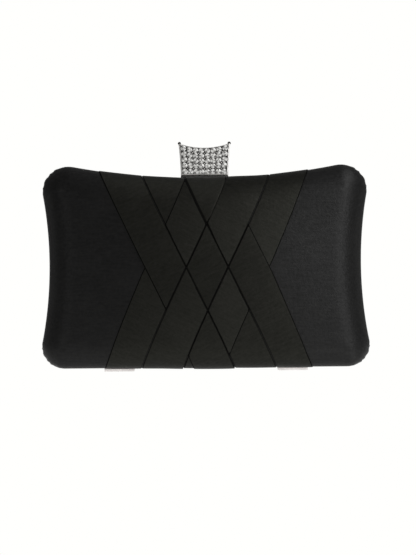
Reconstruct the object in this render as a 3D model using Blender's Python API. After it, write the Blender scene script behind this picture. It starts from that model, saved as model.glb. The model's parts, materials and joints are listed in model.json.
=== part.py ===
"""A hard-case evening bag: two satin-covered half shells on two barrel hinges, with six plaited
satin bands over the front and a horned, stone-set clasp on the top edge.

Frame, in metres: X to the right seen from the front, Y from front to back, Z up. X = 0 is the
middle of the bag, Y = 0 is the plane where the halves meet, and Z = 0 is the underside of the
hinge leaves, which the bag stands on. The opening turns about the X direction through HINGE_Z.
"""

import math

import bmesh
import bpy
from mathutils import Matrix

# Outline of the satin, seen from the front
BASE_Z = 0.0022  # the straight bottom edge
TOP_Z = 0.1172  # the middle of the hollow top edge
TOP_RADIUS = 0.430
WAIST = 0.0949  # half the width where the hollow sides are narrowest
WAIST_Z = 0.0655
SIDE_RADIUS = 0.2425
BOTTOM_CORNER = 0.0135
TOP_CORNER = 0.0154

# Depth of each half, outwards from the parting plane
WALL = 0.008  # the straight part of the wall
ROUND = 0.0125  # radius from the wall to the face
FRONT_RISE = 0.0029  # how far the middle of each face stands proud of its edge
BACK_RISE = 0.0045
CROWN_HALF_X = 0.0880
CROWN_HALF_Z = 0.0510
CROWN_Z = (BASE_Z + TOP_Z) / 2

# Layers of each half, as depths below the satin's outer face
COVER = (0.0, 0.0004)
PADDING = (0.0007, 0.0012)
SHELL = (0.0015, 0.0033)
LINING = (0.0036, 0.0040)
GAP = 0.0003  # between pieces that touch

# Rim frames
FRAME_PROUD = 0.0004
FRAME_INNER = 0.0042
FRAME_DEPTH = 0.0033
FRAME_EDGE = 0.0005
LAYERS_START = FRAME_DEPTH + GAP

# Plaited bands
BAND_PITCH = 0.0253  # along X, from one band to the next
BAND_GAP = 0.0010
BAND_LEAN = 0.47  # sideways run for each unit of height
LATTICE_Z = 0.0632
LOWER_BAND = (0.00035, 0.00080)  # heights above the satin
UPPER_BAND = (0.00115, 0.00160)
BAND_STEPS = 6  # along the flat of the face
BAND_COLUMNS = 3

# Hinges
HINGE_Z = 0.0016
HINGE_X = 0.053
HINGE_LENGTH = 0.018
KNUCKLE_RADIUS = 0.0016
HINGE_BORE = 0.00085
PIN_RADIUS = 0.00075
LEAF_THICKNESS = 0.0014
LEAF_REACH = 0.0075
LEAF_START = 0.0023
POCKET_TOP = 0.0038  # the notch in the frames that the knuckles turn in

# Clasp
CLASP_BASE = 0.1181  # underside of the bracket and the catch
BASE_TOP = 0.1192
BASE_HALF = 0.0145
BRACKET_REACH = 0.0056
CATCH_REACH = 0.0052
SLOT_HALF = 0.0044
SLOT_REACH = 0.0034
PLATE_BOTTOM = 0.1197
PLATE_TOP = 0.1364  # the middle of the hollow top edge
PLATE_HALF_BOTTOM = 0.0145
PLATE_HALF_TOP = 0.0158
PLATE_FRONT = -0.0026
PLATE_BACK = 0.0022
HORN_X = 0.01525
HORN_Z = 0.1392
HORN_BALL = 0.0010
PLATE_RIM = 0.0008
RECESS_DEPTH = 0.0012
STONE_COLUMNS = 8
STONE_ROWS = 5
STONE_PROUD = 0.0005
PIVOT_Y = 0.0040
PIVOT_Z = 0.1210
PIVOT_KNUCKLE = 0.0014
EAR_RADIUS = 0.0015
EAR = (0.0113, 0.0133)  # from and to, along X
SPRING = (0.00095, 0.00135, 0.0031)  # bore radius, outer radius, half length
HOOK = (0.0040, -0.0027, -0.0012, 0.1184)  # half width, front, back and lowest point

# Inside
POCKET_PANEL = (0.060, 0.018, 0.074, 0.0159, 0.0166)  # half width, bottom, top, front, back
GUSSET_Z = (0.016, 0.100)
GUSSET_FOLD = (0.002, 0.018)  # depth of the folds at the bottom and at the top
GUSSET_HALF = 0.0070
GUSSET_INSET = 0.0046
GUSSET_STEPS = 7

BLACK_SATIN = (0.012, 0.011, 0.010)
BLACK_LINING = (0.016, 0.015, 0.016)
SILVER = (0.78, 0.77, 0.75)


def material(name, color, roughness, metallic=0.0):
    made = bpy.data.materials.new(name)
    made.use_nodes = True
    shader = made.node_tree.nodes["Principled BSDF"]
    shader.inputs["Base Color"].default_value = (*color, 1.0)
    shader.inputs["Roughness"].default_value = roughness
    shader.inputs["Metallic"].default_value = metallic
    return made


def clear_scene():
    for item in list(bpy.data.objects):
        bpy.data.objects.remove(item, do_unlink=True)


def add(name, mesh, finish, smooth=True):
    item = bpy.data.objects.new(name, mesh)
    bpy.context.scene.collection.objects.link(item)
    mesh.materials.append(material(name, *finish))
    if smooth:
        mesh.shade_smooth()
        mesh.set_sharp_from_angle(angle=math.radians(35))
    return item


def mesh_of(name, points, faces):
    """A mesh from points and faces, with all its faces turned outwards."""
    mesh = bpy.data.meshes.new(name)
    mesh.from_pydata(points, [], faces)
    work = bmesh.new()
    work.from_mesh(mesh)
    bmesh.ops.recalc_face_normals(work, faces=work.faces)
    work.to_mesh(mesh)
    work.free()
    return mesh


def meeting(first, first_radius, second, second_radius, height):
    """Where two circles meet in X and Z: of the two points, the one nearer to a height."""
    dx, dz = second[0] - first[0], second[1] - first[1]
    span = math.hypot(dx, dz)
    along = (span**2 + first_radius**2 - second_radius**2) / (2 * span)
    off = math.sqrt(first_radius**2 - along**2)
    middle = (first[0] + along * dx / span, first[1] + along * dz / span)
    found = [
        (middle[0] + sign * off * dz / span, middle[1] - sign * off * dx / span)
        for sign in (-1, 1)
    ]
    return min(found, key=lambda p: abs(p[1] - height))


def arc(center, radius, start, end, steps):
    """Points after the start of an arc, up to its end; angles in radians."""
    angles = [start + (end - start) * i / steps for i in range(1, steps + 1)]
    return [(center[0] + radius * math.cos(a), center[1] + radius * math.sin(a)) for a in angles]


def towards(start, end):
    return math.atan2(end[1] - start[1], end[0] - start[0])


SIDE_CENTER = (WAIST + SIDE_RADIUS, WAIST_Z)
TOP_CENTER = (0.0, TOP_Z + TOP_RADIUS)
BOTTOM_CORNER_CENTER = (
    SIDE_CENTER[0]
    - math.sqrt((SIDE_RADIUS + BOTTOM_CORNER) ** 2 - (WAIST_Z - BASE_Z - BOTTOM_CORNER) ** 2),
    BASE_Z + BOTTOM_CORNER,
)
TOP_CORNER_CENTER = meeting(
    SIDE_CENTER, SIDE_RADIUS + TOP_CORNER, TOP_CENTER, TOP_RADIUS + TOP_CORNER, TOP_Z
)


def outline(inset, bottom=4, corner=4, side=4, top=4):
    """The outline in X and Z, moved inwards by inset, anticlockwise from the bottom's middle."""
    low, high = BOTTOM_CORNER_CENTER, TOP_CORNER_CENTER
    to_side_low, to_side_high = towards(low, SIDE_CENTER), towards(high, SIDE_CENTER)
    to_top = towards(high, TOP_CENTER)
    full = 2 * math.pi
    half = [(low[0] * i / bottom, BASE_Z + inset) for i in range(bottom + 1)]
    half += arc(low, BOTTOM_CORNER - inset, -math.pi / 2, to_side_low, corner)
    side_start, side_end = towards(SIDE_CENTER, low) % full, towards(SIDE_CENTER, high) % full
    half += arc(SIDE_CENTER, SIDE_RADIUS + inset, side_start, side_end, side)
    half += arc(high, TOP_CORNER - inset, to_side_high, to_top, corner)
    top_start = towards(TOP_CENTER, high)
    half += arc(TOP_CENTER, TOP_RADIUS + inset, top_start, -math.pi / 2, top)
    return half + [(-x, z) for x, z in reversed(half[1:-1])]


def crown(x, z, rise):
    """How far the face stands proud of its rounded edge at a point."""
    across = max(0.0, 1 - (x / CROWN_HALF_X) ** 2)
    up = max(0.0, 1 - ((z - CROWN_Z) / CROWN_HALF_Z) ** 2)
    return rise * (across * up) ** 1.5


def skin(depth, rise, angles, with_wall=True):
    """Rings of (x, y, z) at a depth below the satin, from the rim to the middle of the face."""
    radius = ROUND - depth
    rings = []
    if with_wall:
        rings.append([(x, LAYERS_START, z) for x, z in outline(depth)])
    for angle in angles:
        turn = math.radians(angle)
        flat = outline(ROUND - radius * math.cos(turn))
        y = WALL + radius * math.sin(turn)
        rings.append([(x, y + crown(x, z, rise), z) for x, z in flat])
    face = outline(ROUND)
    for scale in (0.6, 0.3):
        flat = [(x * scale, CROWN_Z + (z - CROWN_Z) * scale) for x, z in face]
        rings.append([(x, WALL + radius + crown(x, z, rise), z) for x, z in flat])
    rings.append([(0.0, WALL + radius + rise, CROWN_Z)])
    return rings


def tray(name, layer, front, finish, angles=(0, 22.5, 45, 67.5, 90), with_wall=True):
    """One closed layer of a half: an outer skin and an inner skin, joined round the rim."""
    rise = FRONT_RISE if front else BACK_RISE
    way = -1 if front else 1
    points, faces, starts = [], [], []
    for depth in layer:
        rings = skin(depth, rise, angles, with_wall)
        count = len(rings[0])
        starts.append(len(points))
        for ring in rings:
            points += [(x, way * y, z) for x, y, z in ring]
        for k in range(len(rings) - 1):
            a = starts[-1] + k * count
            b = a + count
            for i in range(count):
                j = (i + 1) % count
                last = k == len(rings) - 2
                faces.append((a + i, a + j, b) if last else (a + i, a + j, b + j, b + i))
    for i in range(count):
        j = (i + 1) % count
        faces.append((starts[0] + i, starts[0] + j, starts[1] + j, starts[1] + i))
    return add(name, mesh_of(name, points, faces), finish)


def box_mesh(name, low, high):
    spans = list(zip(low, high))
    corners = [(x, y, z) for x in spans[0] for y in spans[1] for z in spans[2]]
    faces = [(0, 1, 3, 2), (4, 6, 7, 5), (0, 4, 5, 1), (2, 3, 7, 6), (0, 2, 6, 4), (1, 5, 7, 3)]
    return mesh_of(name, corners, faces)


def extrude_x(name, profile, low, high):
    """A closed profile of (y, z) points, extruded along X."""
    count = len(profile)
    points = [(x, y, z) for x in (low, high) for y, z in profile]
    sides = [(i, (i + 1) % count, count + (i + 1) % count, count + i) for i in range(count)]
    ends = [tuple(range(count)), tuple(range(count, 2 * count))]
    return mesh_of(name, points, sides + ends)


def extrude_y(name, profile, low, high):
    """A closed profile of (x, z) points, extruded along Y."""
    count = len(profile)
    points = [(x, y, z) for y in (low, high) for x, z in profile]
    sides = [(i, (i + 1) % count, count + (i + 1) % count, count + i) for i in range(count)]
    ends = [tuple(range(count)), tuple(range(count, 2 * count))]
    return mesh_of(name, points, sides + ends)


def circle(y, z, radius, segments=16):
    turn = 2 * math.pi / segments
    return [
        (y + radius * math.cos(turn * (i + 0.5)), z + radius * math.sin(turn * (i + 0.5)))
        for i in range(segments)
    ]


def tube_mesh(name, y, z, outer, bore, low, high, segments=16):
    """A tube along X."""
    points, faces = [], []
    for x in (low, high):
        for radius in (outer, bore):
            points += [(x, py, pz) for py, pz in circle(y, z, radius, segments)]
    for i in range(segments):
        j = (i + 1) % segments
        a, b, c, d = 0, segments, 2 * segments, 3 * segments
        faces += [(a + i, a + j, c + j, c + i), (b + i, d + i, d + j, b + j)]
        faces += [(a + i, b + i, b + j, a + j), (c + i, c + j, d + j, d + i)]
    return mesh_of(name, points, faces)


def guide(name, mesh):
    """A shape that only takes part in a Boolean."""
    item = bpy.data.objects.new(name, mesh)
    bpy.context.scene.collection.objects.link(item)
    item.hide_render = True
    item.display_type = "WIRE"
    return item


def boolean(item, mesh, operation):
    change = item.modifiers.new(operation.title(), "BOOLEAN")
    change.operation = operation
    change.object = guide(f"{item.name}_guide_{len(item.modifiers)}", mesh)


def make_halves():
    satin, foam = (BLACK_SATIN, 0.42), ((0.75, 0.74, 0.70), 0.95)
    plastic, lining = ((0.10, 0.10, 0.10), 0.60), (BLACK_LINING, 0.70)
    for half, front in (("front", True), ("back", False)):
        tray(f"{half}_cover", COVER, front, satin)
        tray(f"{half}_padding", PADDING, front, foam, angles=(45, 67.5, 90), with_wall=False)
        tray(f"{half}_shell", SHELL, front, plastic)
        tray(f"{half}_lining", LINING, front, lining, angles=(0, 45, 90))
        make_frame(f"{half}_frame", -1 if front else 1)


def make_frame(name, way):
    """The metal rim of one half, notched for the hinge knuckles."""
    start, edge, deep = GAP / 2, FRAME_EDGE, FRAME_DEPTH
    section = [
        (-FRAME_PROUD + edge, start),
        (-FRAME_PROUD, start + edge),
        (-FRAME_PROUD, deep - edge),
        (-FRAME_PROUD + edge, deep),
        (FRAME_INNER, deep),
        (FRAME_INNER, start),
    ]
    rings = [[(x, way * y, z) for x, z in outline(inset)] for inset, y in section]
    count, points, faces = len(rings[0]), sum(rings, []), []
    for k in range(len(section)):
        a, b = k * count, (k + 1) % len(section) * count
        for i in range(count):
            j = (i + 1) % count
            faces.append((a + i, a + j, b + j, b + i))
    item = add(name, mesh_of(name, points, faces), (SILVER, 0.25, 1.0))
    reach, half = LEAF_START, HINGE_LENGTH / 2 + 2 * GAP
    for side in (-1, 1):
        low = (side * HINGE_X - half, -reach, -0.001)
        high = (side * HINGE_X + half, reach, POCKET_TOP)
        boolean(item, box_mesh(name, low, high), "DIFFERENCE")


def band_x(column, lean, index, z):
    """Where a band's column, from 0 at its left edge to 1 at its right, lies at a height."""
    left = (index - 1.5) * BAND_PITCH + BAND_GAP / 2
    return left + column * (BAND_PITCH - BAND_GAP) + lean * (z - LATTICE_Z)


def band_rows(column, lean, index, height):
    """One line of points along a band, over the bottom edge, up the face and over the top."""
    radius = ROUND + height
    angles = [math.radians(a) for a in (22.5, 45, 67.5, 90)]
    low = [(BASE_Z + ROUND - radius * math.cos(a), radius * math.sin(a)) for a in angles]
    line = []
    for z, out in low:
        line.append((band_x(column, lean, index, z), z, out))
    top_x = band_x(column, lean, index, TOP_Z)
    top = TOP_CENTER[1] - math.sqrt(TOP_RADIUS**2 - top_x**2)
    for i in range(1, BAND_STEPS):
        z = BASE_Z + ROUND + (top - BASE_Z - 2 * ROUND) * i / BAND_STEPS
        line.append((band_x(column, lean, index, z), z, radius))
    for a in reversed(angles):
        z = top - ROUND + radius * math.cos(a)
        line.append((band_x(column, lean, index, z), z, radius * math.sin(a)))
    return [(x, -(WALL + out + crown(x, z, FRONT_RISE)), z) for x, z, out in line]


def make_band(name, index, lean, layer):
    columns = [i / BAND_COLUMNS for i in range(BAND_COLUMNS + 1)]
    sheets = [[band_rows(c, lean, index, height) for c in columns] for height in layer]
    rows, wide = len(sheets[0][0]), len(columns)
    points = [sheet[c][r] for sheet in sheets for r in range(rows) for c in range(wide)]
    back = rows * wide
    faces = []
    for r in range(rows - 1):
        for c in range(wide - 1):
            a = r * wide + c
            quad = (a, a + 1, a + wide + 1, a + wide)
            faces += [quad, tuple(back + v for v in reversed(quad))]
    rim = list(range(wide)) + [r * wide + wide - 1 for r in range(1, rows)]
    rim += [(rows - 1) * wide + c for c in range(wide - 2, -1, -1)]
    rim += [r * wide for r in range(rows - 2, 0, -1)]
    for i, a in enumerate(rim):
        b = rim[(i + 1) % len(rim)]
        faces.append((a, b, back + b, back + a))
    add(name, mesh_of(name, points, faces), (BLACK_SATIN, 0.40))


def make_bands():
    for index, place in enumerate(("left", "middle", "right")):
        make_band(f"band_down_{place}", index, -BAND_LEAN, LOWER_BAND)
        make_band(f"band_up_{place}", index, BAND_LEAN, UPPER_BAND)


def make_leaf(name, x, way, knuckles):
    """A hinge leaf: a foot plate under the rim, with its knuckles round the pin."""
    plate_low = (x - HINGE_LENGTH / 2, min(way * LEAF_START, way * LEAF_REACH), 0.0)
    plate_high = (x + HINGE_LENGTH / 2, max(way * LEAF_START, way * LEAF_REACH), LEAF_THICKNESS)
    item = add(name, box_mesh(name, plate_low, plate_high), (SILVER, 0.30, 1.0))
    step = (HINGE_LENGTH + GAP) / 3
    for k in knuckles:
        low = x - HINGE_LENGTH / 2 + k * step
        high = low + step - GAP
        barrel = tube_mesh(name, 0.0, HINGE_Z, KNUCKLE_RADIUS, HINGE_BORE, low, high)
        boolean(item, barrel, "UNION")
        ends = sorted((way * 1.05 * HINGE_BORE, way * (LEAF_START + GAP)))
        tab = box_mesh(name, (low, ends[0], 0.0), (high, ends[1], LEAF_THICKNESS))
        boolean(item, tab, "UNION")


def make_hinges():
    for side, x in (("left", -HINGE_X), ("right", HINGE_X)):
        make_leaf(f"hinge_leaf_back_{side}", x, 1, (0, 2))
        make_leaf(f"hinge_leaf_front_{side}", x, -1, (1,))
        half = HINGE_LENGTH / 2 + GAP
        name = f"hinge_pin_{side}"
        mesh = extrude_x(name, circle(0.0, HINGE_Z, PIN_RADIUS), x - half, x + half)
        add(name, mesh, (SILVER, 0.35, 1.0))


def plate_half(z):
    """Half the clasp plate's width at a height; its sides are slightly hollow."""
    up = (z - PLATE_BOTTOM) / (HORN_Z - PLATE_BOTTOM)
    return PLATE_HALF_BOTTOM + (PLATE_HALF_TOP - PLATE_HALF_BOTTOM) * up**1.6


def plate_top(x):
    """Height of the plate's hollow top edge."""
    return PLATE_TOP + (HORN_Z - 0.0004 - PLATE_TOP) * (x / (HORN_X - 0.0007)) ** 2


def plate_outline(rim, bottom):
    """The clasp plate in X and Z, moved inwards by rim."""
    half = []
    heights = [bottom + (HORN_Z - 0.001 - bottom) * i / 4 for i in range(5)]
    half += [(plate_half(z) - rim, z) for z in heights]
    xs = [(HORN_X - 0.0007) * (1 - i / 6) for i in range(7)]
    half += [(max(0.0, x - rim), plate_top(x) - rim) for x in xs if x > rim]
    half.append((0.0, PLATE_TOP - rim))
    return half + [(-x, z) for x, z in reversed(half[:-1])]


def make_clasp_lever():
    name = "clasp_lever"
    plate = extrude_y(name, plate_outline(0.0, PLATE_BOTTOM), PLATE_FRONT, PLATE_BACK)
    item = add(name, plate, (SILVER, 0.12, 1.0))
    recess = plate_outline(PLATE_RIM, PLATE_BOTTOM + PLATE_RIM)
    cut = extrude_y(name, recess, PLATE_FRONT - 0.001, PLATE_FRONT + RECESS_DEPTH)
    boolean(item, cut, "DIFFERENCE")
    for way in (-1, 1):
        ball = bmesh.new()
        place = Matrix.Translation((way * HORN_X, (PLATE_FRONT + PLATE_BACK) / 2, HORN_Z))
        bmesh.ops.create_uvsphere(ball, u_segments=12, v_segments=8, radius=HORN_BALL, matrix=place)
        mesh = bpy.data.meshes.new(name)
        ball.to_mesh(mesh)
        ball.free()
        boolean(item, mesh, "UNION")
        ends = sorted((way * (SPRING[2] + GAP), way * (EAR[0] - GAP)))
        barrel = tube_mesh(name, PIVOT_Y, PIVOT_Z, PIVOT_KNUCKLE, HINGE_BORE, *ends)
        boolean(item, barrel, "UNION")
        web_low = (ends[0], PLATE_BACK - 0.0003, PIVOT_Z - 0.0008)
        web_high = (ends[1], PIVOT_Y - 1.05 * HINGE_BORE, PIVOT_Z + 0.0008)
        boolean(item, box_mesh(name, web_low, web_high), "UNION")
    half, front, back, lowest = HOOK
    nose = [
        (front + 0.0003, lowest),
        (back, lowest),
        (back, PLATE_BOTTOM + 0.0004),
        (front + 0.0003, PLATE_BOTTOM + 0.0004),
        (front, lowest + 0.0004),
    ]
    boolean(item, extrude_x(name, nose, -half, half), "UNION")


def make_clasp_stones():
    """The stones in one setting: a cell for each stone, raised to a table in its middle."""
    low = PLATE_BOTTOM + PLATE_RIM + GAP
    valley = PLATE_FRONT + 0.0002
    table = PLATE_FRONT - STONE_PROUD
    back = PLATE_FRONT + RECESS_DEPTH - GAP

    def place(u, v):
        """A point of the setting, from u = -1 to 1 across and v = 0 to 1 upwards."""
        x = u * (plate_half(low) - PLATE_RIM - GAP)
        top = plate_top(x) - PLATE_RIM - GAP
        z = low + v * (top - low)
        return u * (plate_half(z) - PLATE_RIM - GAP - 0.0004 * v * abs(u)), z

    columns, rows = STONE_COLUMNS, STONE_ROWS
    flat = [
        place(2 * c / columns - 1, r / rows) for r in range(rows + 1) for c in range(columns + 1)
    ]
    points = [(x, valley, z) for x, z in flat] + [(x, back, z) for x, z in flat]
    wide, behind, faces = columns + 1, len(flat), []
    for r in range(rows):
        for c in range(columns):
            a = r * wide + c
            cell = (a, a + 1, a + wide + 1, a + wide)
            middle = [sum(flat[v][k] for v in cell) / 4 for k in (0, 1)]
            raised = []
            for v in cell:
                raised.append(len(points))
                x, z = (middle[k] + 0.6 * (flat[v][k] - middle[k]) for k in (0, 1))
                points.append((x, table, z))
            faces.append(tuple(raised))
            for k in range(4):
                m = (k + 1) % 4
                faces.append((cell[k], cell[m], raised[m], raised[k]))
            faces.append(tuple(behind + v for v in reversed(cell)))
    rim = list(range(wide)) + [r * wide + columns for r in range(1, rows + 1)]
    rim += [rows * wide + c for c in range(columns - 1, -1, -1)]
    rim += [r * wide for r in range(rows - 1, 0, -1)]
    for i, a in enumerate(rim):
        b = rim[(i + 1) % len(rim)]
        faces.append((a, b, behind + b, behind + a))
    add("clasp_stones", mesh_of("clasp_stones", points, faces), ((0.85, 0.85, 0.84), 0.05), False)


def make_clasp_base():
    name = "clasp_bracket"
    low, high = (-BASE_HALF, 0.00035, CLASP_BASE), (BASE_HALF, BRACKET_REACH, BASE_TOP)
    item = add(name, box_mesh(name, low, high), (SILVER, 0.20, 1.0))
    for way in (-1, 1):
        ends = sorted((way * EAR[0], way * EAR[1]))
        arch = [(PIVOT_Y - EAR_RADIUS, BASE_TOP - 0.0004), (PIVOT_Y + EAR_RADIUS, BASE_TOP - 0.0004)]
        arch += [(PIVOT_Y + EAR_RADIUS, PIVOT_Z)]
        arch += arc((PIVOT_Y, PIVOT_Z), EAR_RADIUS, 0.0, math.pi, 8)
        boolean(item, extrude_x(name, arch, *ends), "UNION")
    bore = extrude_x(name, circle(PIVOT_Y, PIVOT_Z, HINGE_BORE), -0.02, 0.02)
    boolean(item, bore, "DIFFERENCE")

    name = "clasp_catch"
    low, high = (-BASE_HALF, -CATCH_REACH, CLASP_BASE), (BASE_HALF, -0.00035, BASE_TOP)
    item = add(name, box_mesh(name, low, high), (SILVER, 0.20, 1.0))
    low, high = (-SLOT_HALF, -SLOT_REACH, CLASP_BASE - 0.001), (SLOT_HALF, 0.001, BASE_TOP + 0.001)
    boolean(item, box_mesh(name, low, high), "DIFFERENCE")

    half = EAR[1] + GAP
    pin = extrude_x("clasp_pivot_pin", circle(PIVOT_Y, PIVOT_Z, PIN_RADIUS), -half, half)
    add("clasp_pivot_pin", pin, (SILVER, 0.35, 1.0))
    bore, outer, reach = SPRING
    coil = tube_mesh("clasp_spring", PIVOT_Y, PIVOT_Z, outer, bore, -reach, reach)
    add("clasp_spring", coil, (SILVER, 0.40, 1.0))


def make_inside():
    half, bottom, top, front, back = POCKET_PANEL
    panel = box_mesh("slip_pocket", (-half, front, bottom), (half, back, top))
    add("slip_pocket", panel, (BLACK_LINING, 0.70))
    low, high = GUSSET_Z
    for side, way in (("left", -1), ("right", 1)):
        points, faces = [], []
        for i in range(GUSSET_STEPS + 1):
            up = i / GUSSET_STEPS
            z = low + (high - low) * up
            reach = SIDE_RADIUS + GUSSET_INSET
            outer = SIDE_CENTER[0] - math.sqrt(reach**2 - (z - WAIST_Z) ** 2)
            inner = outer - (GUSSET_FOLD[0] + (GUSSET_FOLD[1] - GUSSET_FOLD[0]) * up)
            for x, y in ((outer, -1), (outer, 1), (inner, 1), (inner, -1)):
                points.append((way * x, y * GUSSET_HALF, z))
        for i in range(GUSSET_STEPS):
            a = 4 * i
            for k in range(4):
                m = (k + 1) % 4
                faces.append((a + k, a + m, a + 4 + m, a + 4 + k))
        faces += [(0, 1, 2, 3), tuple(4 * GUSSET_STEPS + k for k in range(4))]
        name = f"gusset_{side}"
        add(name, mesh_of(name, points, faces), (BLACK_LINING, 0.75))


clear_scene()
make_halves()
make_bands()
make_hinges()
make_clasp_lever()
make_clasp_stones()
make_clasp_base()
make_inside()
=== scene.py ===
"""The looks of a black satin evening bag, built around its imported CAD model.

Metres, with the CAD's frame: X to the right seen from the front, Y from front to back, Z up.
Each half is satin pulled over wadding and a rigid shell, inside a polished rim. Six satin bands
are plaited over the front, and a horned clasp set with stones stands on the top edge.
"""

import json
import random
from functools import reduce
from math import acos, atan, atan2, cos, dist, exp, hypot, log, pi, radians, sin, sqrt

import bmesh
import bpy
import numpy as np
from mathutils import Matrix, Vector, noise


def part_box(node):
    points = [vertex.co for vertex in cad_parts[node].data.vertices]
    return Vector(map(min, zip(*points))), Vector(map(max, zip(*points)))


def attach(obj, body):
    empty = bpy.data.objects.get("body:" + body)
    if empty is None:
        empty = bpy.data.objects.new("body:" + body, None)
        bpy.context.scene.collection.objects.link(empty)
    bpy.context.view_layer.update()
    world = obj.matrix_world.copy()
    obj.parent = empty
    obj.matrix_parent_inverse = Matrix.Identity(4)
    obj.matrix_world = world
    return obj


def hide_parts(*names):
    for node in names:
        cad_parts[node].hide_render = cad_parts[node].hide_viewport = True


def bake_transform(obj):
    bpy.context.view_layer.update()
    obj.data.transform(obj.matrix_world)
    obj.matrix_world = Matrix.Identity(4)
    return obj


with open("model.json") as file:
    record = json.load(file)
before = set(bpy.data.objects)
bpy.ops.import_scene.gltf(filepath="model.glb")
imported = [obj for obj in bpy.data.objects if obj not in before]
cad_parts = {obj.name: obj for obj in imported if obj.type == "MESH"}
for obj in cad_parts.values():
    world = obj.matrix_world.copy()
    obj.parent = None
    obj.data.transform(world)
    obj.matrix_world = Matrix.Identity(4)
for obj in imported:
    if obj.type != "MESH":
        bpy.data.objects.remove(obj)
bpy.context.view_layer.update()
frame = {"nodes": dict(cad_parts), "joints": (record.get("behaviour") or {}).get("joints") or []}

scene = bpy.context.scene
SIDES = (("left", -1), ("right", 1))

RIM_LOW, RIM_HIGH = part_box("front_frame")

# Outline of the satin, as the CAD draws it
BASE_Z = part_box("front_cover")[0].z
TOP_Z = 0.1172
TOP_RADIUS = 0.430
WAIST = 0.0949
WAIST_Z = 0.0655
SIDE_RADIUS = 0.2425
BOTTOM_CORNER = 0.0135
TOP_CORNER = 0.0154

# Depth of each half
WALL = 0.008
ROUND = 0.0125
FRONT_RISE = 0.0029
BACK_RISE = 0.0045
CROWN_HALF = (0.0880, 0.0510)
CROWN_Z = (BASE_Z + TOP_Z) / 2
RIM_DEPTH = -RIM_LOW.y
RIM_GAP = -RIM_HIGH.y
RIM_PROUD = BASE_Z - RIM_LOW.z
RIM_INNER = 0.0042
RIM_EDGE = 0.0007
NOTCH_ROOM = 0.0006  # free space at each end of a hinge leaf in the rim's notch
COVER_THICKNESS = 0.00035
WRAP = 0.0175  # how far in from its edge the satin goes on curving
PUFF = 0.0131  # how high it stands over the wall by then
WRAP_POWER = 2.15
LINING = (0.0036, 0.0040)

# The plait
BAND_PITCH = 0.0253
BAND_GAP = 0.0005
LATTICE = (0.0012, 0.0632)
BAND_THICKNESS = 0.00040
BAND_DOWN = 0.00030  # the middle of a band's thickness above the satin, under another band
BAND_UP = 0.00082
OTHER = {"down": "up", "up": "down"}
BAND_LEAN = {"down": -0.490, "up": 0.485}
BAND_STRAIGHTENING = {"down": 0.02, "up": 0.05}  # how much the lean eases towards the ends
BAND_TAPER = {("up", 0): 0.0027, ("up", 2): 0.0027, ("down", 2): 0.0031, ("down", 0): 0.0003}
HALF_HEIGHT = 0.054
BAND_END = 0.055  # height of a band's ends above and below the middle of the plait
UNSKEWED = 0.0151  # distance from a band's end within which its rings turn square to the bag
SLOPE_IN = (0.020, 0.020)  # a band's climb from under to over: pitches before and past the edge
SLOPE_OUT = (0.90, -0.015)  # and its longer climb where it comes into the plait
CREASE_SHADE_HALF = 0.021  # pitches on either side of an edge where shadow is painted along the fold
WIDER_FOLD_SHADE = ("up", 0.5)  # the fold whose painted shadow widens near the top
FOLD_SHADE_FADE = 0.022  # height above the bottom edge below which the painted fold shadow fades
# how much of each painted fold shadow is kept near the top, by family and edge
FOLD_SHADE_TOP = {("up", -0.5): 0.2, ("up", 0.5): 1.0, ("down", -0.5): 0.2, ("down", 0.5): 0.7}
FREE_EDGE_SHADE = 0.935  # share across an outer band beyond which a shadow is painted under its free edge


# ---------------- outlines and meshes


def arc(center, radius, start, end, steps):
    angles = [start + (end - start) * i / steps for i in range(1, steps + 1)]
    return [(center[0] + radius * cos(a), center[1] + radius * sin(a)) for a in angles]


def towards(start, end):
    return atan2(end[1] - start[1], end[0] - start[0])


SIDE_CENTER = (WAIST + SIDE_RADIUS, WAIST_Z)
TOP_CENTER = (0.0, TOP_Z + TOP_RADIUS)
LOW_CORNER = (
    SIDE_CENTER[0]
    - sqrt((SIDE_RADIUS + BOTTOM_CORNER) ** 2 - (WAIST_Z - BASE_Z - BOTTOM_CORNER) ** 2),
    BASE_Z + BOTTOM_CORNER,
)


def high_corner():
    """The middle of the upper corner's arc, which touches both the side's and the top's."""
    reach, far = SIDE_RADIUS + TOP_CORNER, TOP_RADIUS + TOP_CORNER
    span = dist(SIDE_CENTER, TOP_CENTER)
    turn = towards(SIDE_CENTER, TOP_CENTER)
    turn += acos((span**2 + reach**2 - far**2) / (2 * span * reach))
    return (SIDE_CENTER[0] + reach * cos(turn), SIDE_CENTER[1] + reach * sin(turn))


HIGH_CORNER = high_corner()


def outline(inset, steps=(34, 18, 28, 34)):
    """The satin's outline in X and Z moved inwards by inset, anticlockwise from the bottom's
    middle; steps are those along half the bottom, each corner, each side and half the top."""
    bottom, corner, side, top = steps
    full = 2 * pi
    half = [(LOW_CORNER[0] * i / bottom, BASE_Z + inset) for i in range(bottom + 1)]
    to_side = towards(LOW_CORNER, SIDE_CENTER)
    half += arc(LOW_CORNER, BOTTOM_CORNER - inset, -pi / 2, to_side, corner)
    start, end = towards(SIDE_CENTER, LOW_CORNER) % full, towards(SIDE_CENTER, HIGH_CORNER) % full
    half += arc(SIDE_CENTER, SIDE_RADIUS + inset, start, end, side)
    start, end = towards(HIGH_CORNER, SIDE_CENTER), towards(HIGH_CORNER, TOP_CENTER)
    half += arc(HIGH_CORNER, TOP_CORNER - inset, start, end, corner)
    half += arc(TOP_CENTER, TOP_RADIUS + inset, towards(TOP_CENTER, HIGH_CORNER), -pi / 2, top)
    return half + [(-x, z) for x, z in reversed(half[1:-1])]


def at_depth(loop, y):
    return [(x, y, z) for x, z in loop]


def shrunk(loop, scale):
    return [(x * scale, CROWN_Z + (z - CROWN_Z) * scale) for x, z in loop]


def eased(t):
    t = np.minimum(1.0, np.maximum(0.0, t))
    return t * t * (3 - 2 * t)


def top_edge(x):
    return TOP_CENTER[1] - np.sqrt(TOP_RADIUS**2 - x**2)


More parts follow.
